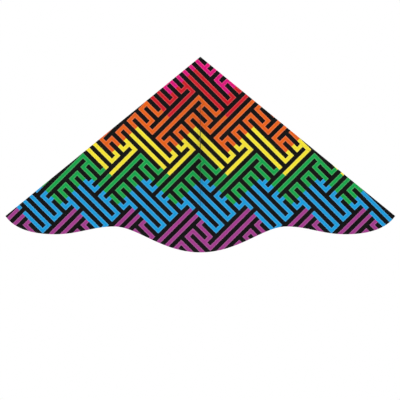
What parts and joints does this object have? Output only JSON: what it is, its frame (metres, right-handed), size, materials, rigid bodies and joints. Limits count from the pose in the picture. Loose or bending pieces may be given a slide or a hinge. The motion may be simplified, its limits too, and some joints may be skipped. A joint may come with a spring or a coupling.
{
  "type": "delta kite",
  "caption": "Single-line delta kite with a scalloped printed sail, rod frame, keel with tow eyelet and folding wings.",
  "frame": {"origin": "centre of the tow eyelet in the keel's front corner, where the flying line holds the kite", "axes": "+Z towards the nose along the spine, -Y out of the sail's face towards the flyer, +X to the viewer's right"},
  "size_m": [1.3986, 0.2038, 0.7],
  "materials": {
    "sail": "printed polyester ripstop",
    "webbing": "black webbing",
    "tape": "black polyester tape",
    "keel_cloth": "black ripstop",
    "rod": "pultruded glass fibre, black",
    "vinyl": "soft vinyl",
    "clip": "moulded nylon",
    "eyelet": "pressed brass, black nickel plated"
  },
  "bodies": {
    "spine": {"spine_rod": "rod", "spine_sleeve": "tape", "nose_pocket": "webbing", "tail_pocket": "webbing", "spine_cap_nose": "vinyl", "spine_cap_tail": "vinyl", "spine_band": "sail"},
    "left_wing": {"sail_left": "sail", "leading_sleeve_left": "sail", "leading_rod_left": "rod", "leading_cap_left": "vinyl", "wingtip_cap_left": "vinyl", "wingtip_pocket_left": "webbing", "trailing_hem_left": "sail", "spreader_patch_left": "tape"},
    "right_wing": {"sail_right": "sail", "leading_sleeve_right": "sail", "leading_rod_right": "rod", "leading_cap_right": "vinyl", "wingtip_cap_right": "vinyl", "wingtip_pocket_right": "webbing", "trailing_hem_right": "sail", "spreader_patch_right": "tape"},
    "spreader": {"spreader_rod": "rod", "spreader_clip_left": "clip", "spreader_clip_right": "clip"},
    "keel": {"keel_panel": "keel_cloth", "keel_hem": "tape", "keel_patch_left": "tape", "keel_patch_right": "tape", "tow_eyelet": "eyelet", "eyelet_washer": "eyelet"}
  },
  "joints": [
    {"name": "left_wing_fold", "type": "hinge", "parent": "spine", "child": "left_wing", "pos_m": [-0.01, 0.15, 0], "axis": [0, 0, -1], "range_deg": [0, 80]},
    {"name": "right_wing_fold", "type": "hinge", "parent": "spine", "child": "right_wing", "pos_m": [0.01, 0.15, 0], "axis": [0, 0, 1], "range_deg": [0, 80]},
    {"name": "spreader_lift", "type": "slide", "parent": "spine", "child": "spreader", "axis": [0, 1, 0], "range_m": [0, 0.65]},
    {"name": "keel_swing", "type": "hinge", "parent": "spine", "child": "keel", "pos_m": [0, 0.14885, 0], "axis": [0, 0, 1], "range_deg": [-75, 75]}
  ],
  "couplings": [
    {"joint": "right_wing_fold", "follows": "left_wing_fold", "ratio": 1},
    {"joint": "spreader_lift", "follows": "left_wing_fold", "m_per_rad": 0.46}
  ]
}
